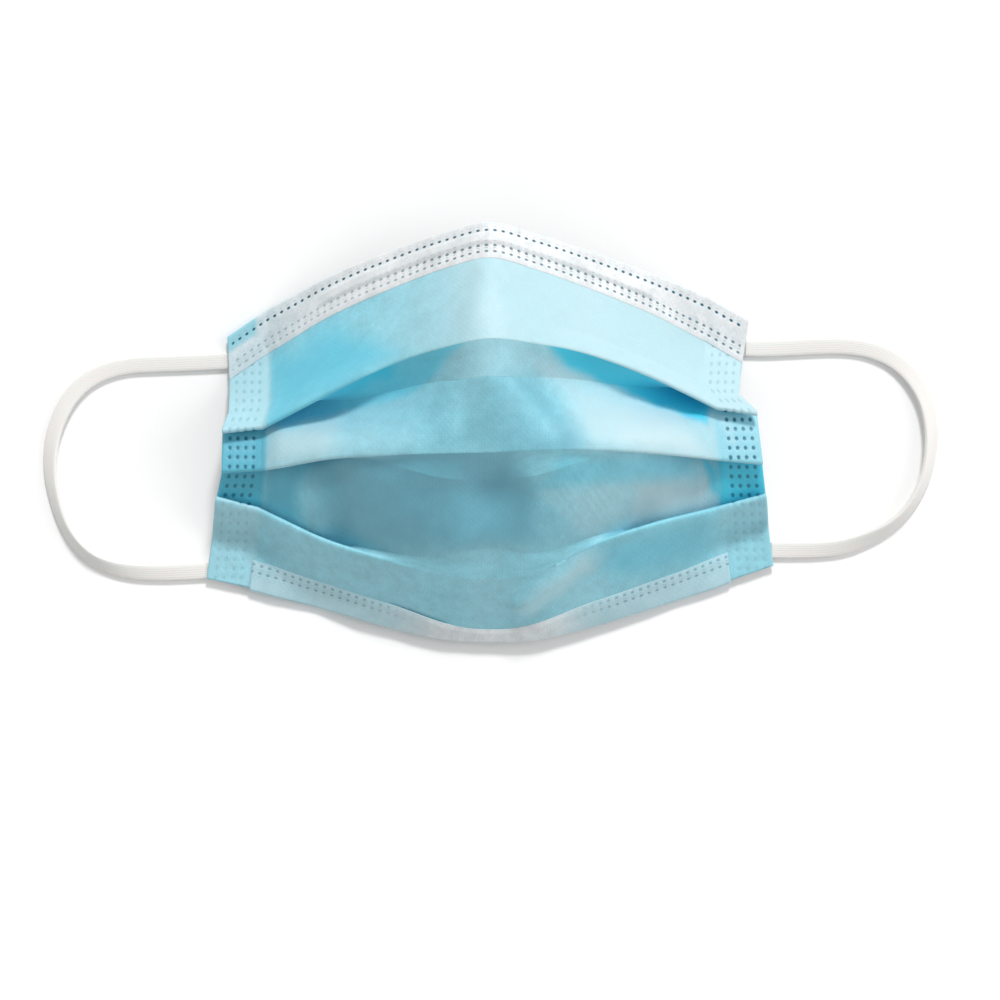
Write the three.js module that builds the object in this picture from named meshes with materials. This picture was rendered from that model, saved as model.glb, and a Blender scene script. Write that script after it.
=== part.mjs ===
// A pleated surgical face mask, opened out and lying face up on a table.
// Millimetres: +X across the mask to its right, +Y towards the nose edge, +Z up from the table.
// The origin is on the table, under the middle of the mask without its ear loops.
import * as THREE from "three";

// Overall sizes of the opened mask
const width = 171.5; // across the chin edge
const depth = 127; // from the nose edge to the chin edge, seen from above
const height = 50; // from the table to the crest of the cloth

// The cloth and its pleats
const wall = 1.2; // all plies pressed together
const clearance = 0.3; // between folded layers, and between neighbouring pieces
const pleatDepth = 11; // how far a folded layer goes back under the one above
const weldWidth = 13; // the side margin where the layers are welded flat

// The strips turned over the two long edges, and the wire
const bandWall = 1;
const turnUnder = 2.6; // how far each strip goes back under its edge
const noseFlap = 12.5;
const chinFlap = 4.5;
const wireWidth = 3.6;
const wireThickness = 0.8;
const wireLength = 112;
const wireInset = 4.2; // from the nose edge to the wire
const pocketRamp = 1.2; // how gently the nose band climbs over the wire

// The elastic
const elasticWidth = 5;
const elasticThickness = 2.2;
const tabLength = 9; // the flattened end, welded under the cloth
const tabThickness = 1.2;

// Colours
const colours = { cloth: "#8fd0e2", band: "#e9eef2", wire: "#d8d8d4", elastic: "#f1efec" };

// The cloth across the mask. At is 0 in the middle, 1 where the weld starts and 2 at the edge, with the left
// negative. First come the places of its lines from above, as shares of the depth.
const plan = [
  { at: -2, nose: 0.236, one: 0.01, two: -0.085, three: -0.156, chin: -0.355 },
  { at: -1, nose: 0.3, one: 0.02, two: -0.08, three: -0.181, chin: -0.377 },
  { at: -0.9, nose: 0.328, one: 0.047, two: -0.0715, three: -0.207, chin: -0.392 },
  { at: -0.7, nose: 0.382, one: 0.101, two: -0.0525, three: -0.257, chin: -0.42 },
  { at: -0.4, nose: 0.443, one: 0.172, two: -0.044, three: -0.305, chin: -0.468 },
  { at: -0.2, nose: 0.477, one: 0.204, two: -0.0415, three: -0.331, chin: -0.493 },
  { at: 0, nose: 0.5, one: 0.2225, two: -0.039, three: -0.34, chin: -0.5 },
  { at: 0.2, nose: 0.475, one: 0.213, two: -0.0346, three: -0.324, chin: -0.494 },
  { at: 0.4, nose: 0.444, one: 0.1945, two: -0.0324, three: -0.272, chin: -0.468 },
  { at: 0.7, nose: 0.391, one: 0.1405, two: -0.0396, three: -0.217, chin: -0.415 },
  { at: 0.9, nose: 0.351, one: 0.092, two: -0.0504, three: -0.189, chin: -0.379 },
  { at: 1, nose: 0.329, one: 0.066, two: -0.0565, three: -0.175, chin: -0.359 },
  { at: 2, nose: 0.277, one: 0.052, two: -0.066, three: -0.149, chin: -0.324 },
];

// Their heights above the corners, as shares of the rise to the crest
const rises = [
  { at: 0, nose: 0.55, one: 1, two: 0.88, three: 0.38, chin: 0.03 },
  { at: 0.2, nose: 0.46, one: 0.89, two: 0.87, three: 0.38, chin: 0.03 },
  { at: 0.4, nose: 0.34, one: 0.74, two: 0.83, three: 0.36, chin: 0.02 },
  { at: 0.7, nose: 0.17, one: 0.56, two: 0.67, three: 0.32, chin: 0.01 },
  { at: 0.9, nose: 0.05, one: 0.44, two: 0.49, three: 0.29, chin: 0 },
  { at: 1, nose: 0, one: 0.38, two: 0.41, three: 0.28, chin: 0 },
  { at: 2, nose: 0, one: 0.37, two: 0.39, three: 0.27, chin: 0 },
];

// How far each pleat is folded in degrees, where 180 is shut
const folds = [
  { at: -2, one: 180, two: 180, three: 180 },
  { at: -1, one: 180, two: 180, three: 180 },
  { at: -0.9, one: 136, two: 162, three: 176 },
  { at: -0.7, one: 106, two: 138, three: 166 },
  { at: -0.55, one: 82, two: 88, three: 110 },
  { at: -0.4, one: 68, two: 34, three: 36 },
  { at: -0.2, one: 56, two: 12, three: 10 },
  { at: 0, one: 30, two: 6, three: 8 },
  { at: 0.2, one: 56, two: 14, three: 10 },
  { at: 0.4, one: 70, two: 44, three: 34 },
  { at: 0.55, one: 84, two: 92, three: 116 },
  { at: 0.7, one: 104, two: 128, three: 168 },
  { at: 0.9, one: 132, two: 156, three: 176 },
  { at: 1, one: 180, two: 180, three: 180 },
  { at: 2, one: 180, two: 180, three: 180 },
];

// How much of each pleat's depth is still folded, as a share
const tucks = [
  { at: 0, one: 1, two: 1, three: 1 },
  { at: 0.2, one: 1, two: 0.8, three: 0.6 },
  { at: 0.4, one: 0.95, two: 0.42, three: 0.24 },
  { at: 0.55, one: 0.9, two: 0.2, three: 0.2 },
  { at: 0.7, one: 0.95, two: 0.6, three: 0.7 },
  { at: 0.9, one: 1, two: 1, three: 1 },
  { at: 1, one: 1, two: 1, three: 1 },
  { at: 2, one: 1, two: 1, three: 1 },
];

// The slope of the cloth in degrees along its way from nose to chin, up being positive
const slopes = [
  { at: 0, nose: 34, beforeOne: 24, afterOne: -8, beforeTwo: -14, afterTwo: -32, beforeThree: -50,
    afterThree: -42, chin: -34 },
  { at: 0.5, nose: 24, beforeOne: 26, afterOne: 6, beforeTwo: 0, afterTwo: -24, beforeThree: -46,
    afterThree: -40, chin: -32 },
  { at: 1, nose: 0, beforeOne: 40, afterOne: 20, beforeTwo: 10, afterTwo: -2, beforeThree: -38,
    afterThree: -30, chin: 0 },
  { at: 2, nose: 0, beforeOne: 40, afterOne: 20, beforeTwo: 10, afterTwo: -2, beforeThree: -38,
    afterThree: -30, chin: 0 },
];

// Half the width at each line, as shares of half the overall width. The waist is just above fold one.
const sides = [
  { line: "nose", left: 0.926, right: 0.912 },
  { line: "waist", left: 0.915, right: 0.872 },
  { line: "one", left: 0.935, right: 0.932 },
  { line: "two", left: 0.936, right: 0.952 },
  { line: "three", left: 0.962, right: 0.969 },
  { line: "chin", left: 1, right: 1 },
];
const waistShare = 0.18; // of the way from fold one to the nose edge

// The middle of each elastic where it lies on the table, as chosen points from its upper to its lower end
const elasticRoutes = {
  left: [[-79.9, 22.1], [-89.8, 21.6], [-100.3, 21.2], [-108.1, 20.8], [-114.4, 19.6], [-120.1, 17.2],
         [-124.4, 14], [-128, 9.5], [-130.8, 3.9], [-132.5, -2], [-133, -8], [-132.7, -13.6], [-131.6, -19.2],
         [-129.9, -24.8], [-127.5, -29.8], [-124.2, -34.2], [-119.9, -37.8], [-114.4, -40.3],
         [-108, -41.6], [-100.3, -42], [-92.8, -41.8], [-86.2, -41.4]],
  right: [[78, 26], [84, 25.9], [91.6, 26.2], [100.6, 26.6], [108.6, 26.5], [115.2, 25.4], [120.8, 23.2],
          [125.2, 20.1], [128.7, 16.1], [131.3, 11.4], [132.9, 6.2], [133.6, 0.6], [133.3, -5.2],
          [132.2, -11.2], [130.2, -16.6], [127.3, -21.6], [123.6, -25.8], [119, -29.2], [113.3, -32],
          [107, -34.1], [99.8, -35], [92.6, -35.2], [85.8, -35.2]],
};

// Where the open cloth comes to rest beside the welds, as places across the mask, and how shut in degrees a
// pleat is when the next panel starts to lie along it
const settlesFrom = 0.9;
const footStartsFrom = 0.75;
const lyingFold = 110;
const shutFold = 180;

// How finely each panel is divided, in how many stations across each half and each weld, and the elastic
const divisions = { top: 7, back: 3, middle: 5, lower: 6, bottom: 6 };
const stationsPerHalf = 13;
const stationsPerWeld = 2;
const stationCrowding = 1.5; // above 1, the stations stand closer together near the welds
const closestStations = 0.02;
const elasticSides = 12;
const elasticSteps = 52;

const halfWidth = width / 2;
const pitch = wall + clearance; // from one folded layer to the next
const bandLift = wall / 2 + clearance + bandWall / 2; // from the cloth's middle to the band's
const edgeLift = clearance + bandWall; // how far a band stands out past the cloth's edge
const restHeight = tabThickness + clearance + wall / 2; // the cloth's middle where it lies on the tabs
const rise = height - wall / 2 - restHeight;
const weldStart = 1 - weldWidth / halfWidth;
const layersAbove = { nose: 0, one: 0, two: 2, three: 2, chin: 0 }; // in the weld
const shortestTurn = 0.15; // a fold that is almost open still has a narrow crease
const roundingRoom = 1e-6; // when places across the mask are compared
const { lerp, smoothstep, clamp, degToRad } = THREE.MathUtils;

// A direction in the section plane, whose first number is y and whose second is z
function towards(slope) {
  return new THREE.Vector2(-Math.cos(degToRad(slope)), Math.sin(degToRad(slope)));
}

// All the columns of a table as functions of the place across the mask: smooth between the welds, and
// straight across each weld. A table that starts in the middle is read alike on both sides.
function readTable(table) {
  const columns = Object.keys(table[0]).filter((column) => column !== "at");
  const inside = table.filter((row) => Math.abs(row.at) <= 1);
  const curves = columns.map((column) => {
    const values = inside.map((row) => row[column]);
    return [column, new THREE.CubicInterpolant(inside.map((row) => row.at), values, 1)];
  });
  return (at) => {
    const place = table[0].at < 0 ? at : Math.abs(at);
    const edge = place < 0 ? table[0] : table.at(-1);
    const way = clamp(Math.abs(place) - 1, 0, 1);
    const near = clamp(place, -1, 1);
    const read = ([column, curve]) => [column, lerp(curve.evaluate(near)[0], edge[column], way)];
    return Object.fromEntries(curves.map(read));
  };
}

const planAt = readTable(plan);
const risesAt = readTable(rises);
const foldsAt = readTable(folds);
const tucksAt = readTable(tucks);
const slopesAt = readTable(slopes);

// The middle of the cloth on each of its lines, in the section plane
function linesAt(at) {
  const inWeld = smoothstep(Math.abs(at), settlesFrom, 1);
  const places = planAt(at);
  const heights = risesAt(at);
  const line = (name, inset) => {
    const y = places[name] * depth - inset;
    return new THREE.Vector2(y, restHeight + heights[name] * rise - layersAbove[name] * pitch * inWeld);
  };
  return {
    nose: line("nose", edgeLift), one: line("one", 0), two: line("two", 0), three: line("three", 0),
    chin: line("chin", -edgeLift),
  };
}

// The step from a layer to the next one round a fold, one pitch when the fold is shut
function turn(from, to) {
  const length = Math.max(shortestTurn, pitch * Math.abs(Math.sin(degToRad(to - from) / 2)));
  return towards((from + to) / 2).multiplyScalar(length);
}

// A curve from a to b in the section plane that leaves and arrives at the given slopes
function curveBetween(a, b, slopeA, slopeB) {
  const reach = a.distanceTo(b) / 3;
  const leaving = towards(slopeA).multiplyScalar(reach).add(a);
  const arriving = towards(slopeB).multiplyScalar(-reach).add(b);
  return new THREE.CubicBezierCurve(a, leaving, arriving, b);
}

// The slope of a curve in degrees, at a share of its length
function slopeOf(curve, share) {
  const { x, y } = curve.getTangentAt(share);
  return THREE.MathUtils.radToDeg(Math.atan2(y, -x));
}

// The layer folded back under a panel's stretch beside a fold. It lies parallel to it when the fold is
// shut, and swings open about the fold. It also gives the panel's slope where the layer ends.
function layerUnder(panel, fromEnd, foldAngle, corner, reach) {
  const opening = degToRad(shutFold - foldAngle) * (fromEnd ? -1 : 1);
  const shareAt = (distance) => (fromEnd ? 1 - distance / panel.getLength() : distance / panel.getLength());
  const sunkAt = (distance) => {
    const along = panel.getTangentAt(shareAt(distance));
    const below = new THREE.Vector2(-along.y, along.x).multiplyScalar(pitch);
    return panel.getPointAt(shareAt(distance)).add(below);
  };
  const points = [];
  for (let i = 0; i <= divisions.back; i++) {
    const swung = sunkAt((i / divisions.back) * reach).sub(sunkAt(0));
    points.push(swung.rotateAround(new THREE.Vector2(), opening).add(corner));
  }
  return { points, panelSlope: slopeOf(panel, shareAt(reach)) };
}

// The slope of the next panel where it leaves a layer: parallel to the panel above when the fold is shut
function settled(open, shut, foldAngle) {
  return lerp(open, shut, smoothstep(foldAngle, lyingFold, shutFold));
}

// The flat stretch beside each corner, where the cloth lies on the elastic's end
function footLength(at, edge) {
  const route = at < 0 ? elasticRoutes.left : elasticRoutes.right;
  const [, y] = edge === "nose" ? route[0] : route.at(-1);
  const corner = depth * planAt(Math.sign(at) * 2)[edge];
  const reach = Math.abs(corner - y) - edgeLift + elasticWidth / 2;
  return lerp(shortestTurn * 2, reach, smoothstep(Math.abs(at), footStartsFrom, 1));
}

// The cloth's middle at one place across the mask, as a list of panels from nose to chin
function panelsAt(at) {
  const line = linesAt(at);
  const slope = slopesAt(at);
  const fold = foldsAt(at);
  for (const name of Object.keys(fold)) fold[name] = Math.min(fold[name], shutFold);
  const tuck = tucksAt(at);

  const topStart = towards(slope.nose).multiplyScalar(footLength(at, "nose")).add(line.nose);
  const top = curveBetween(topStart, line.one, slope.nose, slope.beforeOne);
  const oneUnder = turn(slope.beforeOne, slope.beforeOne - fold.one).add(line.one);
  const backOne = layerUnder(top, true, fold.one, oneUnder, tuck.one * pleatDepth);

  const slopeMiddle = settled(slope.afterOne, backOne.panelSlope, fold.one);
  const middleStart = turn(backOne.panelSlope - fold.one, slopeMiddle).add(backOne.points.at(-1));
  const middle = curveBetween(middleStart, line.two, slopeMiddle, slope.beforeTwo);
  const twoUnder = turn(slope.beforeTwo, slope.beforeTwo - fold.two).add(line.two);
  const backTwo = layerUnder(middle, true, fold.two, twoUnder, tuck.two * pleatDepth);

  const bottomEnd = towards(slope.chin).multiplyScalar(-footLength(at, "chin")).add(line.chin);
  const bottom = curveBetween(line.three, bottomEnd, slope.afterThree, slope.chin);
  const threeUnder = line.three.clone().sub(turn(slope.afterThree + fold.three, slope.afterThree));
  const backThree = layerUnder(bottom, false, fold.three, threeUnder, tuck.three * pleatDepth);

  const slopeLower = settled(slope.afterTwo, backTwo.panelSlope, fold.two);
  const slopeLowerEnd = settled(slope.beforeThree, backThree.panelSlope, fold.three);
  const lowerStart = turn(backTwo.panelSlope - fold.two, slopeLower).add(backTwo.points.at(-1));
  const lowerTurn = turn(slopeLowerEnd, backThree.panelSlope + fold.three);
  const lowerEnd = backThree.points.at(-1).clone().sub(lowerTurn);
  const lower = curveBetween(lowerStart, lowerEnd, slopeLower, slopeLowerEnd);
  const panels = [
    [line.nose], top.getSpacedPoints(divisions.top), backOne.points, middle.getSpacedPoints(divisions.middle),
    backTwo.points, lower.getSpacedPoints(divisions.lower), backThree.points.reverse(),
    bottom.getSpacedPoints(divisions.bottom), [line.chin],
  ];
  return { line, topStart, top, bottom, bottomEnd, panels };
}

// Points of the section moved off the cloth's middle, by one height or by a list of heights
function raised(points, heights) {
  return points.map((point, i) => {
    const before = points[Math.max(i - 1, 0)];
    const after = points[Math.min(i + 1, points.length - 1)];
    const into = (i > 0 ? point.clone().sub(before) : after.clone().sub(point)).normalize();
    const out = (i < points.length - 1 ? after.clone().sub(point) : point.clone().sub(before)).normalize();
    const along = into.add(out);
    const height = Array.isArray(heights) ? heights[i] : heights;
    return new THREE.Vector2(along.y, -along.x).multiplyScalar((2 * height) / along.lengthSq()).add(point);
  });
}

// From a place across the mask to a share of its half width
function shareOut(at) {
  const out = Math.abs(at);
  return Math.sign(at) * (out < 1 ? out * weldStart : lerp(weldStart, 1, out - 1));
}

// How far out a point of the section lies, by the sides' shape at its height down the mask
function placeIn(at) {
  const line = linesAt(at);
  line.waist = line.one.clone().lerp(line.nose, waistShare);
  const column = at < 0 ? "left" : "right";
  const rows = sides.map((side) => ({ y: line[side.line].x, out: side[column] * halfWidth }));
  return (point) => {
    const next = clamp(rows.findIndex((row) => row.y < point.x), -1, rows.length - 1);
    const lower = rows[next < 0 ? rows.length - 1 : Math.max(next, 1)];
    const upper = rows[rows.indexOf(lower) - 1];
    const way = clamp((upper.y - point.x) / (upper.y - lower.y), 0, 1);
    return new THREE.Vector3(shareOut(at) * lerp(upper.out, lower.out, way), point.x, point.y);
  };
}

// Where the wire ends, and where the nose band's pocket has come down beside it
const wireEnd = wireLength / 2 / (weldStart * sides[0].right * halfWidth);
const pocketEnd = wireEnd + (2 * pocketRamp) / halfWidth;

// The places across the mask where sections are made, closer together near the welds
function stationsAcross() {
  const half = [wireEnd, pocketEnd];
  for (let i = 1; i <= stationsPerHalf; i++) {
    const place = 1 - (1 - i / stationsPerHalf) ** stationCrowding;
    const clearOf = (end) => Math.abs(place - end) > closestStations;
    if (clearOf(wireEnd) && clearOf(pocketEnd)) half.push(place);
  }
  for (let i = 1; i <= stationsPerWeld; i++) half.push(1 + i / stationsPerWeld);
  half.sort((a, b) => a - b);
  return [...half.map((place) => -place).reverse(), 0, ...half];
}

// A closed solid between two grids: a list of sections from left to right, each from nose to chin
function solidBetween(over, under) {
  const rows = over.length;
  const columns = over[0].length;
  const positions = [...over.flat(), ...under.flat()].flatMap((point) => point.toArray());
  const up = (i, j) => i * columns + j;
  const down = (i, j) => (rows + i) * columns + j;
  const index = [];
  const quad = (a, b, c, d) => index.push(a, b, c, a, c, d);
  for (let i = 0; i + 1 < rows; i++) {
    for (let j = 0; j + 1 < columns; j++) {
      quad(up(i, j), up(i, j + 1), up(i + 1, j + 1), up(i + 1, j));
      quad(down(i, j), down(i + 1, j), down(i + 1, j + 1), down(i, j + 1));
    }
    quad(up(i, 0), up(i + 1, 0), down(i + 1, 0), down(i, 0));
    quad(up(i + 1, columns - 1), up(i, columns - 1), down(i, columns - 1), down(i + 1, columns - 1));
  }
  for (let j = 0; j + 1 < columns; j++) {
    quad(up(0, j + 1), up(0, j), down(0, j), down(0, j + 1));
    quad(up(rows - 1, j), up(rows - 1, j + 1), down(rows - 1, j + 1), down(rows - 1, j));
  }
  const geometry = new THREE.BufferGeometry();
  geometry.setAttribute("position", new THREE.Float32BufferAttribute(positions, 3));
  geometry.setIndex(index);
  geometry.computeVertexNormals();
  return geometry;
}

// Both faces of a lofted sheet, from a function that gives its middle line in each section
function sheetThrough(places, middleAt, thickness) {
  const face = (side) => places.map((at) => raised(middleAt(at), (side * thickness) / 2).map(placeIn(at)));
  return solidBetween(face(1), face(-1));
}

function clothAt(at) {
  return panelsAt(at).panels.flat();
}

// A point on the top panel at a distance from the nose edge
function onTopPanel({ line, topStart, top }, distance) {
  const foot = line.nose.distanceTo(topStart);
  if (distance <= foot) return line.nose.clone().lerp(topStart, distance / foot);
  return top.getPointAt((distance - foot) / top.getLength());
}

// A point on the bottom panel at a distance from the chin edge
function onBottomPanel({ line, bottomEnd, bottom }, distance) {
  const foot = line.chin.distanceTo(bottomEnd);
  if (distance <= foot) return line.chin.clone().lerp(bottomEnd, distance / foot);
  return bottom.getPointAt(1 - (distance - foot) / bottom.getLength());
}

// The point past the cloth's edge where a band turns over it
function pastEdge(edge, inside) {
  return edge.clone().sub(inside).setLength(clearance + bandWall / 2).add(edge);
}

// The nose band's middle line, from under the edge, over it and down the front with a pocket for the wire
function noseBandAt(at) {
  const section = panelsAt(at);
  const overWire = Math.abs(at) < pocketEnd - roundingRoom ? wireThickness + clearance : 0;
  const wireFar = wireInset + wireWidth;
  const stops = [
    { distance: wireInset - pocketRamp, lift: 0 }, { distance: wireInset - clearance, lift: overWire },
    { distance: wireFar + clearance, lift: overWire }, { distance: wireFar + pocketRamp, lift: 0 },
    { distance: noseFlap, lift: 0 },
  ];
  const front = stops.map((stop) => onTopPanel(section, stop.distance));
  const past = pastEdge(section.line.nose, front[0]);
  const over = raised([past, ...front], [bandLift, ...stops.map((stop) => bandLift + stop.lift)]);
  const under = raised([past, onTopPanel(section, turnUnder)], -bandLift);
  return [...under.reverse(), ...over];
}

// The chin band's middle line, from the front over the edge and back under it
function chinBandAt(at) {
  const section = panelsAt(at);
  const front = [chinFlap, chinFlap / 2].map((distance) => onBottomPanel(section, distance));
  const past = pastEdge(section.line.chin, front[1]);
  const over = raised([...front, past], bandLift);
  const under = raised([onBottomPanel(section, turnUnder), past], -bandLift);
  return [...over, ...under.reverse()];
}

// The wire's middle line, flat in the pocket
function wireAt(at) {
  const section = panelsAt(at);
  const across = [wireInset, wireInset + wireWidth].map((distance) => onTopPanel(section, distance));
  return raised(across, wall / 2 + clearance / 2 + wireThickness / 2);
}

// The elastic lies on the table from one tab round to the next
function elasticGeometry(route) {
  const points = route.map(([x, y]) => new THREE.Vector3(x, y, elasticThickness / 2));
  const section = new THREE.Shape();
  section.absellipse(0, 0, elasticThickness / 2, elasticWidth / 2, 0, Math.PI * 2);
  const outline = new THREE.Shape(section.getSpacedPoints(elasticSides).slice(0, -1));
  const extrudePath = new THREE.CatmullRomCurve3(points, false, "centripetal");
  return new THREE.ExtrudeGeometry(outline, { steps: elasticSteps, extrudePath });
}

// The flattened end of an elastic, under the margin of the cloth
function tabGeometry([x, y]) {
  const geometry = new THREE.BoxGeometry(tabLength, elasticWidth, tabThickness);
  const inwards = -Math.sign(x) * (tabLength / 2 + clearance);
  return geometry.translate(x + inwards, y, tabThickness / 2);
}

const group = new THREE.Group();

function add(name, geometry, color, roughness, metalness = 0) {
  const mesh = new THREE.Mesh(geometry, new THREE.MeshStandardMaterial({ color, roughness, metalness }));
  mesh.name = name;
  group.add(mesh);
}

const places = stationsAcross();
const beside = (end) => places.filter((at) => Math.abs(at) <= end + roundingRoom);
add("pleated_panel", sheetThrough(places, clothAt, wall), colours.cloth, 0.85);
add("nose_band", sheetThrough(places, noseBandAt, bandWall), colours.band, 0.8);
add("nose_wire", sheetThrough(beside(wireEnd), wireAt, wireThickness), colours.wire, 0.5);
add("chin_band", sheetThrough(beside(1), chinBandAt, bandWall), colours.band, 0.8);
for (const [side, route] of Object.entries(elasticRoutes)) {
  add(`ear_loop_${side}`, elasticGeometry(route), colours.elastic, 0.9);
  add(`loop_tab_${side}_top`, tabGeometry(route[0]), colours.elastic, 0.9);
  add(`loop_tab_${side}_bottom`, tabGeometry(route.at(-1)), colours.elastic, 0.9);
}

export default group;
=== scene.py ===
"""Dresses a pleated surgical face mask that lies opened out and face up on a table. All sizes are metres."""
import math

import bmesh
import bpy
import numpy as np
from mathutils import Matrix, Vector


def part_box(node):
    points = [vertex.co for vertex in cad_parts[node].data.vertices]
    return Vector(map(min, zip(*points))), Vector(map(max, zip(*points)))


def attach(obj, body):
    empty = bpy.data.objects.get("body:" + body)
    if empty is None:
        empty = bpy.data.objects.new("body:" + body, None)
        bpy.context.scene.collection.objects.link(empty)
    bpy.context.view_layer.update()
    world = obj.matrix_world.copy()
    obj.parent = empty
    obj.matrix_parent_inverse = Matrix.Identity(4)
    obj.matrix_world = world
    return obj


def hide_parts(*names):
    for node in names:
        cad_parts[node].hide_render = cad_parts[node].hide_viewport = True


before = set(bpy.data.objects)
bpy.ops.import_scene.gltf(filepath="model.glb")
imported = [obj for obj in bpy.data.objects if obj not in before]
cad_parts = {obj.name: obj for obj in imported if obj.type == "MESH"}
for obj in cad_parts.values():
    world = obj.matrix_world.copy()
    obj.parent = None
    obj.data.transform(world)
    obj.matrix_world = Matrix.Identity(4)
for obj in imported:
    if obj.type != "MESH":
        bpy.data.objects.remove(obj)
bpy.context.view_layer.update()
panel_low, panel_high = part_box("pleated_panel")

bl_info = {
    "name": "Pleated face mask",
    "version": (1, 0, 0),
    "blender": (4, 5, 0),
    "location": "3D View > Sidebar > Face mask",
    "description": "Dresses a pleated surgical face mask lying face up on a table",
    "category": "Add Mesh",
}

# The mask seen from above: the places of its lines as shares of the depth. At is 0 in the middle, 1 where
# the side weld starts and 2 at the edge, with the left negative.
LINES = ("nose", "one", "two", "three", "chin")
PLAN = (
    (-2, 0.236, 0.01, -0.085, -0.156, -0.355),
    (-1, 0.3, 0.02, -0.08, -0.181, -0.377),
    (-0.9, 0.328, 0.047, -0.0715, -0.207, -0.392),
    (-0.7, 0.382, 0.101, -0.0525, -0.257, -0.42),
    (-0.4, 0.443, 0.172, -0.044, -0.305, -0.468),
    (-0.2, 0.477, 0.204, -0.0415, -0.331, -0.493),
    (0, 0.5, 0.2225, -0.039, -0.34, -0.5),
    (0.2, 0.475, 0.213, -0.0346, -0.324, -0.494),
    (0.4, 0.444, 0.1945, -0.0324, -0.272, -0.468),
    (0.7, 0.391, 0.1405, -0.0396, -0.217, -0.415),
    (0.9, 0.351, 0.092, -0.0504, -0.189, -0.379),
    (1, 0.329, 0.066, -0.0565, -0.175, -0.359),
    (2, 0.277, 0.052, -0.066, -0.149, -0.324),
)

# The heights of the same lines as shares of the rise
RISES = (
    (0, 0.55, 1, 0.88, 0.36, 0.03),
    (0.2, 0.46, 0.9, 0.87, 0.37, 0.03),
    (0.4, 0.34, 0.74, 0.83, 0.36, 0.02),
    (0.7, 0.17, 0.56, 0.67, 0.32, 0.01),
    (0.9, 0.05, 0.44, 0.49, 0.29, 0),
    (1, 0, 0.38, 0.41, 0.28, 0),
    (2, 0, 0.37, 0.39, 0.27, 0),
)

# How far each pleat is folded in degrees, where 180 is shut
PLEATS = ("one", "two", "three")
FOLDS = (
    (-2, 180, 180, 180),
    (-1, 180, 180, 180),
    (-0.9, 160, 162, 176),
    (-0.7, 112, 138, 166),
    (-0.55, 82, 88, 110),
    (-0.4, 68, 50, 36),
    (-0.2, 56, 36, 10),
    (0, 30, 34, 8),
    (0.2, 56, 36, 10),
    (0.4, 70, 56, 34),
    (0.55, 84, 92, 116),
    (0.7, 108, 128, 168),
    (0.9, 152, 156, 176),
    (1, 180, 180, 180),
    (2, 180, 180, 180),
)

# How much of each pleat's depth is still folded, as a share
TUCKS = (
    (0, 1, 1, 1),
    (0.2, 1, 0.8, 0.6),
    (0.4, 0.95, 0.42, 0.24),
    (0.55, 0.9, 0.2, 0.2),
    (0.7, 0.95, 0.6, 0.7),
    (0.9, 1, 1, 1),
    (1, 1, 1, 1),
    (2, 1, 1, 1),
)

# The slope of the cloth in degrees on its way from nose to chin, up being positive
TURNS = ("nose", "before_one", "after_one", "before_two", "after_two", "before_three", "after_three", "chin")
SLOPES = (
    (0, 34, 24, -8, -14, -49, -48, -42, -34),
    (0.5, 24, 26, 6, 0, -24, -46, -40, -32),
    (1, 0, 40, 20, 10, -2, -38, -30, 0),
    (2, 0, 40, 20, 10, -2, -38, -30, 0),
)

# Half the width at each line, left and right, as shares of half the overall width
SIDES = (("nose", 0.926, 0.912), ("waist", 0.915, 0.872), ("one", 0.935, 0.932), ("two", 0.936, 0.952),
         ("three", 0.962, 0.969), ("chin", 1, 1))
WAIST_SHARE = 0.18

# The middle of each ear loop where it lies on the table, from its upper to its lower end
LOOP_ROUTES = {
    "left": ((-0.0792, 0.0221), (-0.0898, 0.0216), (-0.1003, 0.0212), (-0.1081, 0.0208), (-0.1144, 0.0196),
             (-0.1201, 0.0172), (-0.1244, 0.014), (-0.128, 0.0095), (-0.1308, 0.0039), (-0.1325, -0.002),
             (-0.133, -0.008), (-0.1327, -0.0136), (-0.1316, -0.0192), (-0.1299, -0.0248),
             (-0.1275, -0.0298), (-0.1242, -0.0342), (-0.1199, -0.0378), (-0.1144, -0.0403),
             (-0.108, -0.0416), (-0.1003, -0.042), (-0.0928, -0.0418), (-0.0855, -0.0414)),
    "right": ((0.0773, 0.026), (0.084, 0.0259), (0.0916, 0.0262), (0.1006, 0.0266), (0.1086, 0.0265),
              (0.1152, 0.0254), (0.1208, 0.0232), (0.1252, 0.0201), (0.1287, 0.0161), (0.1313, 0.0114),
              (0.1329, 0.0062), (0.1336, 0.0006), (0.1333, -0.0052), (0.1322, -0.0112), (0.1302, -0.0166),
              (0.1273, -0.0216), (0.1236, -0.0258), (0.119, -0.0292), (0.1133, -0.032), (0.107, -0.0341),
              (0.0998, -0.035), (0.0926, -0.0352), (0.0851, -0.0352)),
}

# How far each loop leans on to its edge, in degrees, at shares of its length
LOOP_LEANS = ((0, 0), (0.3, 4), (0.45, 28), (0.6, 54), (0.72, 54), (0.85, 20), (1, 0))

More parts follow.
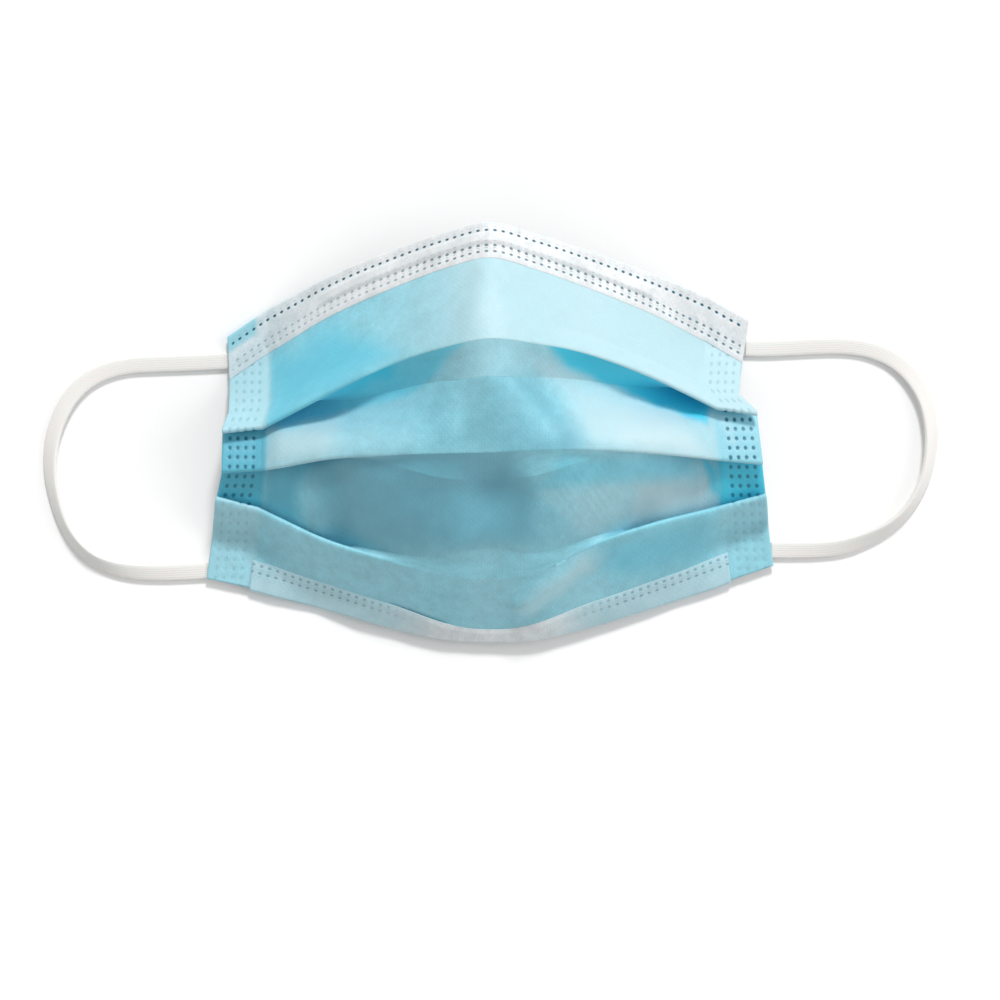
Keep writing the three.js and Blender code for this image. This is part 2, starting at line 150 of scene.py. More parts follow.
# Soft creases: the panel, where each starts and ends seen from above, how far it stands off, and its width
CREASES = (
    ("bottom", (0.0318, -0.0336), (0.0073, -0.0527), 0.0015, 0.0035),
    ("bottom", (-0.031, -0.0533), (-0.013, -0.0585), -0.0008, 0.003),
    ("bottom", (-0.025, -0.0403), (-0.0173, -0.0433), 0.0004, 0.003),
    ("middle", (-0.0103, 0.022), (-0.0125, -0.002), 0.0006, 0.004),
    ("middle", (0.003, 0.018), (0.0182, -0.003), 0.0007, 0.004),
    ("top", (-0.0015, 0.05), (-0.0073, 0.029), 0.0005, 0.003),
    ("top", (-0.0015, 0.05), (0.01, 0.028), 0.0005, 0.003),
    ("top", (0.069, 0.0209), (0.0764, 0.0173), -0.0005, 0.0012),
    ("lower", (-0.0455, -0.0064), (-0.0273, -0.0139), 0.0005, 0.003),
    ("lower", (-0.0576, -0.012), (-0.05, -0.03), 0.0004, 0.003),
)

# Painted light and shade on the cloth: patches painted paler as painted highlight, deeper as painted saturated
# shadow, and darker as painted shade. Columns: the rows of the grid, the tone, how much, the softness of the
# patch's edge, and its corners seen from above
TONES = (
    ("middle", "deep", 0.6, 0.0016, ((-0.0646, 0.0005), (-0.0425, 0.0065), (-0.0256, 0.0109), (-0.0176, 0.0151),
                                     (-0.0075, 0.028), (-0.03, 0.032), (-0.066, 0.012))),
    ("middle", "deep", 1, 0.005, ((-0.0646, 0.0035), (-0.0425, 0.0105), (-0.027, 0.015), (-0.027, 0.035),
                                  (-0.066, 0.016))),
    ("middle", "deep", 1, 0.0016, ((0.015, 0.0285), (0.0226, 0.0203), (0.0344, 0.0138), (0.0499, 0.0082),
                                   (0.0648, 0.0015), (0.066, 0.013), (0.035, 0.03))),
    ("middle", "dark", 0.35, 0.004, ((0.003, 0.0185), (0.029, -0.005), (0.026, -0.009), (-0.0127, -0.0033))),
    ("middle", "dark", 0.65, 0.004, ((0.006, 0.0175), (0.012, 0.016), (0.029, -0.003), (0.021, -0.005))),
    ("middle", "dark", 0.25, 0.006, ((-0.034, 0.01), (-0.012, 0.016), (-0.01, -0.004), (-0.036, -0.004))),
    ("middle", "pale", 0.5, 0.004, ((-0.066, 0.002), (-0.045, 0.004), (-0.047, -0.006), (-0.066, -0.0085))),
    ("middle", "pale", 0.6, 0.005, ((0.016, 0.02), (0.028, 0.015), (0.055, 0.004), (0.06, -0.004), (0.03, -0.003))),
    ("lower", "pale", 0.6, 0.004, ((0.044, -0.0145), (0.066, -0.0128), (0.066, -0.022), (0.04, -0.028))),
    ("middle", "pale", 0.8, 0.0008, ((0.0685, 0.0055), (0.0725, 0.005), (0.0733, -0.0035), (0.0708, -0.0035))),
    ("lower", "pale", 0.22, 0.0015, ((0.0119, -0.016), (0.0615, -0.0131), (0.0722, -0.0202), (0.0297, -0.0321))),
    ("lower", "deep", 0.8, 0.001, ((0.0645, -0.0083), (0.0712, -0.012), (0.0706, -0.0196), (0.0667, -0.0166))),
    ("lower", "deep", 0.6, 0.004, ((-0.0678, -0.012), (-0.0545, -0.0095), (-0.058, -0.028), (-0.0678, -0.0215))),
    ("lower", "dark", 0.75, 0.006, ((-0.058, 0.006), (0.012, 0.006), (0.014, -0.0155), (0.027, -0.031),
                                    (-0.034, -0.036), (-0.05, -0.032))),
    ("lower", "dark", 0.4, 0.012, ((-0.012, -0.01), (0.012, -0.01), (0.028, -0.031), (0, -0.036))),
    ("lower", "deep", 0.35, 0.003, ((0.022, -0.0065), (0.06, -0.0065), (0.062, -0.0125), (0.014, -0.0155))),
    ("top", "dark", 0.2, 0.007, ((-0.066, 0.022), (-0.046, 0.032), (-0.03, 0.0235), (-0.066, 0))),
    ("top", "deep", 0.65, 0.007, ((-0.066, 0.022), (-0.046, 0.032), (-0.03, 0.0235), (-0.066, 0))),
    ("bottom", "pale", 0.4, 0.002, ((0.031, -0.0336), (0.036, -0.0355), (0.013, -0.0545), (0.0073, -0.0527))),
    ("lower", "dark", 0.45, 0.004, ((-0.0678, -0.009), (-0.055, -0.007), (-0.058, -0.026), (-0.0678, -0.0215))),
    ("bottom", "deep", 0.35, 0.005, ((0.03, -0.034), (0.067, -0.024), (0.066, -0.038), (0.038, -0.043))),
    ("bottom", "dark", 0.3, 0.005, ((0.03, -0.034), (0.067, -0.024), (0.066, -0.038), (0.038, -0.043))),
)

ROWS = {"top": 50, "back": 7, "middle": 46, "lower": 48, "bottom": 42, "turn": 3}
HIDDEN = ROWS["back"] + 2 * ROWS["turn"]
HALF_COLUMNS = 88
WELD_COLUMNS = 22


def metres(name, text, default):
    return bpy.props.FloatProperty(name=name, description=text, default=default, subtype="DISTANCE",
                                   unit="LENGTH", precision=5)


def colour(name, text, default):
    return bpy.props.FloatVectorProperty(name=name, description=text, default=default, subtype="COLOR",
                                         size=3, min=0, max=1)


class ClothSettings(bpy.types.PropertyGroup):
    depth: metres("Depth", "From the nose edge to the chin edge, seen from above", 0.127)
    ply: metres("Ply", "Thickness of the outer cloth, and of the lining", 0.0003)
    ply_gap: metres("Ply gap", "Between the outer cloth and the lining", 0.0001)
    pitch: metres("Pitch", "From one folded layer to the next", 0.00105)
    pleat: metres("Pleat", "How far a folded layer goes back under the one above", 0.011)
    weld: metres("Weld", "Width of the side margin where the layers are welded flat", 0.013)
    dot_pitch: metres("Dot pitch", "From one embossed dot to the next", 0.00255)
    blue: colour("Blue", "Colour of the outer cloth", (0.25, 0.64, 0.77))
    white: colour("White", "Colour of the lining", (0.66, 0.72, 0.75))
    strip: colour("Strip", "Colour of the turned strips", (0.75, 0.81, 0.82))


class ElasticSettings(bpy.types.PropertyGroup):
    width: metres("Width", "Width of the flat elastic", 0.005)
    thickness: metres("Thickness", "Thickness of the flat elastic", 0.0017)
    colour: colour("Colour", "Colour of the elastic", (0.84, 0.82, 0.79))


class StageSettings(bpy.types.PropertyGroup):
    floor: colour("Floor", "Colour of the table", (0.98, 0.98, 0.98))
    sun_elevation: bpy.props.FloatProperty(name="Sun elevation", description="Height of the main light",
                                           default=math.radians(42), subtype="ANGLE", unit="ROTATION")
    sun_turn: bpy.props.FloatProperty(name="Sun turn", description="How far the main light stands to the right",
                                      default=math.radians(10), subtype="ANGLE", unit="ROTATION")


class MaskSettings(bpy.types.PropertyGroup):
    cloth: bpy.props.PointerProperty(type=ClothSettings)
    elastic: bpy.props.PointerProperty(type=ElasticSettings)
    stage: bpy.props.PointerProperty(type=StageSettings)


# Curves through tables

def through(stations, values, where):
    """A smooth curve through the values at the stations, read at the places in where."""
    stations, values = np.asarray(stations, float), np.asarray(values, float)
    where = np.clip(where, stations[0], stations[-1])
    steps = np.diff(stations)
    slopes = np.diff(values, axis=0) / steps[:, None]
    tangents = np.vstack([slopes[:1], (slopes[1:] + slopes[:-1]) / 2, slopes[-1:]])
    i = np.clip(np.searchsorted(stations, where, side="right") - 1, 0, len(steps) - 1)
    step = steps[i]
    t = ((where - stations[i]) / step)[:, None]
    step = step[:, None]
    return ((1 + 2 * t) * (1 - t) ** 2 * values[i] + t * (1 - t) ** 2 * step * tangents[i]
            + t * t * (3 - 2 * t) * values[i + 1] + t * t * (t - 1) * step * tangents[i + 1])


def read(table, names, at):
    """The columns of a table at places across the mask, smooth inside the welds and straight across them."""
    rows = np.asarray(table, float)
    if rows[0, 0] == 0:
        mirrored = rows[1:][::-1] * ([-1] + [1] * len(names))
        rows = np.vstack([mirrored, rows])
    inner = rows[np.abs(rows[:, 0]) <= 1]
    inside = through(inner[:, 0], inner[:, 1:], at)
    edge = np.where((at < 0)[:, None], rows[0, 1:], rows[-1, 1:])
    out = np.clip(np.abs(at) - 1, 0, 1)[:, None]
    values = inside * (1 - out) + edge * out
    return {name: values[:, k] for k, name in enumerate(names)}


def smoothstep(value, low, high):
    t = np.clip((value - low) / (high - low), 0, 1)
    return t * t * (3 - 2 * t)


# The cloth's section, as points (y, z) for every place across the mask

def towards(slope):
    slope = np.radians(slope)
    return np.stack([-np.cos(slope), np.sin(slope)], -1)


def bend(a, b, slope_a, slope_b, count=48):
    """A curve from a to b that leaves and arrives at the given slopes."""
    reach = np.linalg.norm(b - a, axis=-1, keepdims=True) / 3
    handle_a = a + towards(slope_a) * reach
    handle_b = b - towards(slope_b) * reach
    t = np.linspace(0, 1, count)[None, :, None]
    a, b, handle_a, handle_b = (p[:, None, :] for p in (a, b, handle_a, handle_b))
    return a * (1 - t) ** 3 + 3 * handle_a * t * (1 - t) ** 2 + 3 * handle_b * t * t * (1 - t) + b * t ** 3


def lengths_along(curve):
    steps = np.linalg.norm(np.diff(curve, axis=1), axis=-1)
    return np.concatenate([np.zeros((len(curve), 1)), np.cumsum(steps, axis=1)], axis=1)


def points_at(curve, distances):
    """The points of each curve at distances from its start."""
    lengths = lengths_along(curve)
    picked = np.empty(distances.shape + (2,))
    for i, row in enumerate(distances):
        for axis in (0, 1):
            picked[i, :, axis] = np.interp(row, lengths[i], curve[i, :, axis])
    return picked


def spaced(curve, count):
    """Each curve again, with its points evenly spaced."""
    total = lengths_along(curve)[:, -1:]
    return points_at(curve, total * np.linspace(0, 1, count)[None, :])


def slope_at(curve, distance):
    total = lengths_along(curve)[:, -1]
    near = np.clip(distance, 0.0005, total - 0.0005)
    pair = points_at(curve, np.stack([near - 0.0005, near + 0.0005], 1))
    step = pair[:, 1] - pair[:, 0]
    return np.degrees(np.arctan2(step[:, 1], -step[:, 0]))


def turn(start_slope, end_slope, pitch):
    """The step from one layer to the next round a fold."""
    length = np.maximum(0.00015, pitch * np.abs(np.sin(np.radians(end_slope - start_slope) / 2)))
    return towards((start_slope + end_slope) / 2) * length[:, None]


def layer_under(panel, from_end, fold, corner, pleat, pitch):
    """The layer folded back beside a panel's fold: parallel when shut, and swung open about the fold."""
    total = lengths_along(panel)[:, -1:]
    distances = np.linspace(0, 1, ROWS["back"])[None, :] * pleat[:, None]
    way = total - distances if from_end else distances
    delta = 0.0004
    ahead = points_at(panel, np.clip(way + delta, 0, total)) - points_at(panel, np.clip(way - delta, 0, total))
    ahead /= np.linalg.norm(ahead, axis=-1, keepdims=True)
    sunk = points_at(panel, way) + np.stack([-ahead[..., 1], ahead[..., 0]], -1) * pitch
    sunk -= sunk[:, :1]
    opening = np.radians(180 - fold) * (-1 if from_end else 1)
    c, s = np.cos(opening)[:, None], np.sin(opening)[:, None]
    swung = np.stack([sunk[..., 0] * c - sunk[..., 1] * s, sunk[..., 0] * s + sunk[..., 1] * c], -1)
    slope = slope_at(panel, (total[:, 0] - pleat) if from_end else pleat)
    return swung + corner[:, None, :], slope


def rounded_turn(a, b, slope_a, slope_b):
    """The inner points of a fold's round edge."""
    turned = np.radians(np.abs(slope_b - slope_a))[:, None]
    reach = np.linalg.norm(b - a, axis=-1, keepdims=True) * 2 / 3 / (1 + np.cos(turned / 2))
    handle_a, handle_b = a + towards(slope_a) * reach, b - towards(slope_b) * reach
    t = (np.arange(1, ROWS["turn"] + 1) / (ROWS["turn"] + 1))[None, :, None]
    a, b, handle_a, handle_b = (p[:, None, :] for p in (a, b, handle_a, handle_b))
    return a * (1 - t) ** 3 + 3 * handle_a * t * (1 - t) ** 2 + 3 * handle_b * t * t * (1 - t) + b * t ** 3


def section(at, cloth):
    """The cloth's middle line at each place across, panel by panel, and the lines it is laid through."""
    plan, rises = read(PLAN, LINES, at), read(RISES, LINES, at)
    fold = {name: np.minimum(value, 180) for name, value in read(FOLDS, PLEATS, at).items()}
    slope = read(SLOPES, TURNS, at)
    rest = 0.0021
    rise = panel_high.z - 0.0006 - rest
    in_weld = smoothstep(np.abs(at), 0.9, 1)
    edge_lift = 0.0013
    layers = {"two": 2, "three": 2}
    insets = {"nose": edge_lift, "chin": -edge_lift}
    line = {}
    for name in LINES:
        y = plan[name] * cloth.depth - insets.get(name, 0)
        z = rest + rises[name] * rise - layers.get(name, 0) * cloth.pitch * in_weld
        line[name] = np.stack([y, z], -1)

    foot = 0.0003 + smoothstep(np.abs(at), 0.75, 1) * 0.0095
    pitch = cloth.pitch
    pleat = {name: cloth.pleat * share for name, share in read(TUCKS, PLEATS, at).items()}
    settle = {name: smoothstep(value, 110, 180) for name, value in fold.items()}

    top_start = line["nose"] + towards(slope["nose"]) * foot[:, None]
    top = bend(top_start, line["one"], slope["nose"], slope["before_one"])
    top = np.concatenate([line["nose"][:, None], top], 1)
    under_one = line["one"] + turn(slope["before_one"], slope["before_one"] - fold["one"], pitch)
    back_one, lie = layer_under(top, True, fold["one"], under_one, pleat["one"], pitch)
    start = slope["after_one"] + (lie - slope["after_one"]) * settle["one"]
    middle_start = back_one[:, -1] + turn(lie - fold["one"], start, pitch)
    middle = bend(middle_start, line["two"], start, slope["before_two"])
    under_two = line["two"] + turn(slope["before_two"], slope["before_two"] - fold["two"], pitch)
    back_two, lie_two = layer_under(middle, True, fold["two"], under_two, pleat["two"], pitch)

    bottom_end = line["chin"] - towards(slope["chin"]) * foot[:, None]
    bottom = bend(line["three"], bottom_end, slope["after_three"], slope["chin"])
    bottom = np.concatenate([bottom, line["chin"][:, None]], 1)
    under_three = line["three"] - turn(slope["after_three"] + fold["three"], slope["after_three"], pitch)
    back_three, lie_three = layer_under(bottom, False, fold["three"], under_three, pleat["three"], pitch)

    start_lower = slope["after_two"] + (lie_two - slope["after_two"]) * settle["two"]
    end_lower = slope["before_three"] + (lie_three - slope["before_three"]) * settle["three"]
    lower_start = back_two[:, -1] + turn(lie_two - fold["two"], start_lower, pitch)
    lower_end = back_three[:, -1] - turn(end_lower, lie_three + fold["three"], pitch)
    lower = bend(lower_start, lower_end, start_lower, end_lower)

    one_b, two_b = slope["before_one"], slope["before_two"]
    panels = [
        spaced(top, ROWS["top"]),
        rounded_turn(line["one"], under_one, one_b, one_b - fold["one"]),
        back_one,
        rounded_turn(back_one[:, -1], middle_start, lie - fold["one"], start),
        spaced(middle, ROWS["middle"]),
        rounded_turn(line["two"], under_two, two_b, two_b - fold["two"]),
        back_two,
        rounded_turn(back_two[:, -1], lower_start, lie_two - fold["two"], start_lower),
        spaced(lower, ROWS["lower"]),
        rounded_turn(lower_end, back_three[:, -1], end_lower, lie_three + fold["three"]),
        back_three[:, ::-1],
        rounded_turn(under_three, line["three"], slope["after_three"] + fold["three"], slope["after_three"]),
        spaced(bottom, ROWS["bottom"]),
    ]
    return line, top, bottom, panels


def placed(at, line, points, cloth):
    """Points (y, z) of each section as points in space."""
    half = (panel_high.x - panel_low.x) / 2
    weld_start = 1 - cloth.weld / half
    out = np.abs(at)
    share = np.sign(at) * np.where(out < 1, out * weld_start, weld_start + (1 - weld_start) * (out - 1))
    ends = dict(line)
    ends["waist"] = line["one"] + (line["nose"] - line["one"]) * WAIST_SHARE
    x = np.empty(points.shape[:2])
    for i in range(len(at)):
        ys = [-ends[name][i, 0] for name, _, _ in SIDES]
        outs = [(left if at[i] < 0 else right) * half for _, left, right in SIDES]
        x[i] = share[i] * np.interp(-points[i, :, 0], ys, outs)
    return np.stack([x, points[..., 0], points[..., 1]], -1)


def normals_of(grid):
    """Unit normals of a grid of points, up where the cloth lies flat."""
    along = np.gradient(grid, axis=1)
    across = np.gradient(grid, axis=0)
    normal = np.cross(across, -along)
    return normal / np.maximum(np.linalg.norm(normal, axis=-1, keepdims=True), 1e-12)


def across_places():
    """Places across the mask, closer together in the welds."""
    half = [i / HALF_COLUMNS for i in range(1, HALF_COLUMNS + 1)]
    half += [1 + i / WELD_COLUMNS for i in range(1, WELD_COLUMNS + 1)]
    return np.array([-a for a in reversed(half)] + [0.0] + half)


def stand_off(form):
    """How far each point of the cloth stands off its plain form."""
    x, y = form[..., 0], form[..., 1]
    inner = 1 - smoothstep(np.abs(x), 0.062, 0.072)
    return waves(x, y, 5, 0.03) * 0.00035 * inner + waves(x, y, 9, 0.012) * 0.00012 * inner


def waves(x, y, seed, scale, count=7):
    """Soft seeded undulation between about -1 and 1, with a wavelength near the scale."""
    rng = np.random.default_rng(seed)
    total = np.zeros_like(x)
    for _ in range(count):
        angle, phase = rng.uniform(0, 2 * math.pi, 2)
        wave = rng.uniform(0.7, 1.6) * scale
        total += np.sin((x * math.cos(angle) + y * math.sin(angle)) * 2 * math.pi / wave + phase)
    return total / math.sqrt(count)


# Meshes

def grid_piece(name, points, coordinates, thickness, material, bodies=("root",)):
    """A sheet of cloth through a grid of points (across, down, 3), with its flat coordinates as its UV map."""
    columns, rows = points.shape[:2]
    bm = bmesh.new()
    bmesh.ops.create_grid(bm, x_segments=columns - 1, y_segments=rows - 1, size=1)
    mesh = bpy.data.meshes.new(name)
    bm.to_mesh(mesh)
    bm.free()
    flat = points.transpose(1, 0, 2)[::-1].reshape(-1, 3)
    mesh.vertices.foreach_set("co", flat.astype(np.float32).ravel())
    uv = mesh.uv_layers.new(name="Cloth")
    corner = np.empty(len(mesh.loops), np.int32)
    mesh.loops.foreach_get("vertex_index", corner)
    flat_uv = coordinates.transpose(1, 0, 2)[::-1].reshape(-1, 2)
    uv.data.foreach_set("uv", flat_uv[corner].astype(np.float32).ravel())
    mesh.polygons.foreach_set("use_smooth", [True] * len(mesh.polygons))
    mesh.update()
    piece = bpy.data.objects.new(name, mesh)
    bpy.context.scene.collection.objects.link(piece)
    wall = piece.modifiers.new("Thickness", "SOLIDIFY")
    wall.thickness = thickness
    wall.offset = 0
    mesh.materials.append(material)
    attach(piece, "root")
    return piece


def add_point_vectors(piece, name, values):
    """A vector for every point of a grid piece, given in the order (across, down)."""
    layer = piece.data.attributes.new(name, "FLOAT_VECTOR", "POINT")
    flat = values.transpose(1, 0, 2)[::-1].reshape(-1, 3)
    layer.data.foreach_set("vector", flat.astype(np.float32).ravel())


def apply_modifiers(piece):
    depsgraph = bpy.context.evaluated_depsgraph_get()
    finished = bpy.data.meshes.new_from_object(piece.evaluated_get(depsgraph))
    piece.modifiers.clear()
    old = piece.data
    piece.data = finished
    bpy.data.meshes.remove(old)


# Shader groups and materials

def new_group(name, inputs, outputs):
    group = bpy.data.node_groups.new(name, "ShaderNodeTree")
    for label, kind, default in inputs:
        socket = group.interface.new_socket(label, in_out="INPUT", socket_type=kind)
        if default is not None:
            socket.default_value = default
    for label, kind in outputs:
        group.interface.new_socket(label, in_out="OUTPUT", socket_type=kind)
    return group, group.nodes.new("NodeGroupInput"), group.nodes.new("NodeGroupOutput")


def node(tree, kind, links=None, **settings):
    """A node with its settings, and its inputs linked or set by name or number."""
    made = tree.nodes.new(kind)
    for key, value in settings.items():
        setattr(made, key, value)
    for socket, value in (links or {}).items():
        if isinstance(value, bpy.types.NodeSocket):
            tree.links.new(value, made.inputs[socket])
        else:
            made.inputs[socket].default_value = value
    return made


def maths(tree, operation, *values):
    return node(tree, "ShaderNodeMath", dict(enumerate(values)), operation=operation).outputs[0]


def dot_rows_group():
    """Round dots in rows: a mask that is 1 in a dot."""
    group, start, end = new_group("Dot rows", [
        ("Vector", "NodeSocketVector", None), ("Pitch", "NodeSocketVector", (0.0025, 0.0025, 1)),
        ("Radius", "NodeSocketFloat", 0.0004), ("Stagger", "NodeSocketFloat", 0.0),
    ], [("Mask", "NodeSocketFloat")])
    cell = node(group, "ShaderNodeVectorMath", {0: start.outputs["Vector"], 1: start.outputs["Pitch"]},
                operation="DIVIDE").outputs[0]
    parts = node(group, "ShaderNodeSeparateXYZ", {0: cell})
    odd = maths(group, "FLOORED_MODULO", maths(group, "FLOOR", parts.outputs[1]), 2.0)
    shift = maths(group, "MULTIPLY", odd, start.outputs["Stagger"])
    across = maths(group, "SUBTRACT", maths(group, "FRACT", maths(group, "ADD", parts.outputs[0], shift)), 0.5)
    down = maths(group, "SUBTRACT", maths(group, "FRACT", parts.outputs[1]), 0.5)
    away = node(group, "ShaderNodeCombineXYZ", {0: across, 1: down})
    real = node(group, "ShaderNodeVectorMath", {0: away.outputs[0], 1: start.outputs["Pitch"]},
                operation="MULTIPLY").outputs[0]
    distance = node(group, "ShaderNodeVectorMath", {0: real}, operation="LENGTH").outputs["Value"]
    inner = maths(group, "MULTIPLY", start.outputs["Radius"], 0.6)
    mask = node(group, "ShaderNodeMapRange", {"Value": distance, "From Min": start.outputs["Radius"],
                                              "From Max": inner, "To Min": 0.0, "To Max": 1.0})
    group.links.new(mask.outputs[0], end.inputs["Mask"])
    return group


def fleece_group():
    """Spun fibres pressed together: a height for bumps and a tone for the colour."""
    group, start, end = new_group("Fleece", [
        ("Vector", "NodeSocketVector", None), ("Fibre", "NodeSocketFloat", 0.0004),
    ], [("Height", "NodeSocketFloat"), ("Tone", "NodeSocketFloat")])
    scale = maths(group, "DIVIDE", 1.0, start.outputs["Fibre"])
    heights = []
    for turned, detail in ((0.6, 3.0), (-0.7, 3.0)):
        way = node(group, "ShaderNodeMapping", {"Vector": start.outputs["Vector"],
                                                "Rotation": (0, 0, turned), "Scale": (1, 0.22, 1)})
        heights.append(node(group, "ShaderNodeTexNoise", {"Vector": way.outputs[0], "Scale": scale,
                                                          "Detail": detail, "Roughness": 0.6}).outputs[0])
    height = maths(group, "MAXIMUM", *heights)
    cloud = node(group, "ShaderNodeTexNoise", {"Vector": start.outputs["Vector"], "Scale": 260.0,
                                               "Detail": 4.0, "Roughness": 0.65}).outputs[0]
    wide = node(group, "ShaderNodeTexNoise", {"Vector": start.outputs["Vector"], "Scale": 70.0,
                                              "Detail": 3.0, "Roughness": 0.6}).outputs[0]
    fine = maths(group, "ADD", maths(group, "MULTIPLY", height, 0.3), maths(group, "MULTIPLY", cloud, 0.4))
    blend = maths(group, "ADD", fine, maths(group, "MULTIPLY", wide, 0.3))
    tone = node(group, "ShaderNodeMapRange", {"Value": blend, "From Min": 0.4, "From Max": 0.6}).outputs[0]
    group.links.new(height, end.inputs["Height"])
    group.links.new(tone, end.inputs["Tone"])
    return group


def shared_group(name, make):
    return bpy.data.node_groups.get(name) or make()


def new_material(name, base, roughness, scatter=0.0, sheen=0.0):
    material = bpy.data.materials.new(name)
    material.use_nodes = True
    shader = material.node_tree.nodes["Principled BSDF"]
    shader.inputs["Base Color"].default_value = (*base, 1)
    shader.inputs["Roughness"].default_value = roughness
    shader.inputs["Specular IOR Level"].default_value = 0.25
    shader.inputs["Subsurface Weight"].default_value = scatter
    shader.inputs["Subsurface Radius"].default_value = (0.4, 1.0, 1.0)
    shader.inputs["Subsurface Scale"].default_value = 0.002
    shader.inputs["Sheen Weight"].default_value = sheen
    shader.inputs["Sheen Roughness"].default_value = 0.5
    return material, material.node_tree, shader


def tinted(tree, factor, dark, light):
    """A colour between two, by a factor that changes over the surface."""
    mix = node(tree, "ShaderNodeMix", data_type="RGBA")
    tree.links.new(factor, mix.inputs["Factor"])
    mix.inputs["A"].default_value = (*dark, 1)
    mix.inputs["B"].default_value = (*light, 1)
    return mix.outputs["Result"]


def scaled(base, share):
    return tuple(min(1.0, channel * share) for channel in base)


def cloth_material(name, base, shine, dots_attribute=None, dot_colour=None, shades=()):
    """Point-bonded spun cloth, with the welded dots darker where an attribute places them, and shades mixed in
    where another attribute says: painted highlight and painted shade on the outer cloth, a blue tint on the strips.
    """
    material, tree, shader = new_material(name, base, 0.52, scatter=0.25, sheen=0.15)
    shader.inputs["Specular IOR Level"].default_value = shine
    place = node(tree, "ShaderNodeUVMap", uv_map="Cloth").outputs[0]
    fleece = node(tree, "ShaderNodeGroup", {}, node_tree=shared_group("Fleece", fleece_group))
    tree.links.new(place, fleece.inputs["Vector"])
    bonds = node(tree, "ShaderNodeGroup", {}, node_tree=shared_group("Dot rows", dot_rows_group))
    tree.links.new(place, bonds.inputs["Vector"])
    bonds.inputs["Pitch"].default_value = (0.0018, 0.0009, 1)
    bonds.inputs["Radius"].default_value = 0.00032
    bonds.inputs["Stagger"].default_value = 0.5
    tone = tinted(tree, fleece.outputs["Tone"], scaled(base, 0.85), scaled(base, 1.12))
    bond_share = maths(tree, "MULTIPLY", bonds.outputs["Mask"], 0.04)
    mix = node(tree, "ShaderNodeMix", {"Factor": bond_share}, data_type="RGBA")
    tree.links.new(tone, mix.inputs["A"])
    mix.inputs["B"].default_value = (*scaled(base, 0.6), 1)
    result = mix.outputs["Result"]
    if shades:
        # Shares of painted highlight and painted shade on the outer cloth, of a blue tint on the strips.
        tint_and_painted_light = node(tree, "ShaderNodeAttribute", attribute_name="tint_and_painted_light")
        shares = node(tree, "ShaderNodeSeparateXYZ", {0: tint_and_painted_light.outputs["Vector"]}).outputs
        for share, shade in zip(shares, shades):
            tint_and_light_mix = node(tree, "ShaderNodeMix", {"Factor": share}, data_type="RGBA")
            tree.links.new(result, tint_and_light_mix.inputs["A"])
            tint_and_light_mix.inputs["B"].default_value = (*shade, 1)
            result = tint_and_light_mix.outputs["Result"]
    height = maths(tree, "SUBTRACT", fleece.outputs["Height"], maths(tree, "MULTIPLY", bonds.outputs["Mask"], 0.55))
    if dots_attribute:
        spots = node(tree, "ShaderNodeAttribute", attribute_name=dots_attribute)
        dots = node(tree, "ShaderNodeGroup", {}, node_tree=shared_group("Dot rows", dot_rows_group))
        tree.links.new(spots.outputs["Vector"], dots.inputs["Vector"])
        dots.inputs["Pitch"].default_value = (1, 1, 1)
        dots.inputs["Radius"].default_value = 0.29
        parts = node(tree, "ShaderNodeSeparateXYZ", {0: spots.outputs["Vector"]})
        mask = maths(tree, "MULTIPLY", dots.outputs["Mask"], parts.outputs[2])
        final = node(tree, "ShaderNodeMix", {"Factor": mask}, data_type="RGBA")
        tree.links.new(result, final.inputs["A"])
        final.inputs["B"].default_value = (*dot_colour, 1)
        result = final.outputs["Result"]
        smooth = maths(tree, "SUBTRACT", 0.52, maths(tree, "MULTIPLY", mask, 0.15))
        tree.links.new(smooth, shader.inputs["Roughness"])
    tree.links.new(result, shader.inputs["Base Color"])
    bump = node(tree, "ShaderNodeBump", {"Strength": 0.28, "Distance": 0.0002, "Height": height})
    tree.links.new(bump.outputs[0], shader.inputs["Normal"])
    return material


def elastic_material(base):
    """Knitted elastic: ribs along it, with small stitches."""
    material, tree, shader = new_material("knitted_elastic", base, 0.85, scatter=0.2, sheen=0.3)
    thread = node(tree, "ShaderNodeAttribute", attribute_name="thread")
    parts = node(tree, "ShaderNodeSeparateXYZ", {0: thread.outputs["Vector"]})
    rib = maths(tree, "SINE", maths(tree, "MULTIPLY", parts.outputs[1], 2 * math.pi / 0.0007))
    lean = maths(tree, "ADD", maths(tree, "MULTIPLY", parts.outputs[0], 2 * math.pi / 0.0008),
                 maths(tree, "MULTIPLY", maths(tree, "ABSOLUTE", rib), 1.4))
    stitch = maths(tree, "SINE", lean)
    height = maths(tree, "ADD", maths(tree, "MULTIPLY", rib, 0.6), maths(tree, "MULTIPLY", stitch, 0.14))
    fuzz = node(tree, "ShaderNodeTexNoise", {"Vector": thread.outputs["Vector"], "Scale": 2500.0,
                                             "Detail": 3.0}).outputs[0]
    # The colour follows the heights of ribs and stitches, darker in the grooves as painted shade, with random fuzz
    # over it.
    factor = maths(tree, "ADD", maths(tree, "MULTIPLY", height, 0.3), fuzz)
    tree.links.new(tinted(tree, factor, scaled(base, 0.92), scaled(base, 1.04)), shader.inputs["Base Color"])
    bump = node(tree, "ShaderNodeBump", {"Strength": 0.22, "Distance": 0.00015, "Height": height})
    tree.links.new(bump.outputs[0], shader.inputs["Normal"])
    return material


# Operators

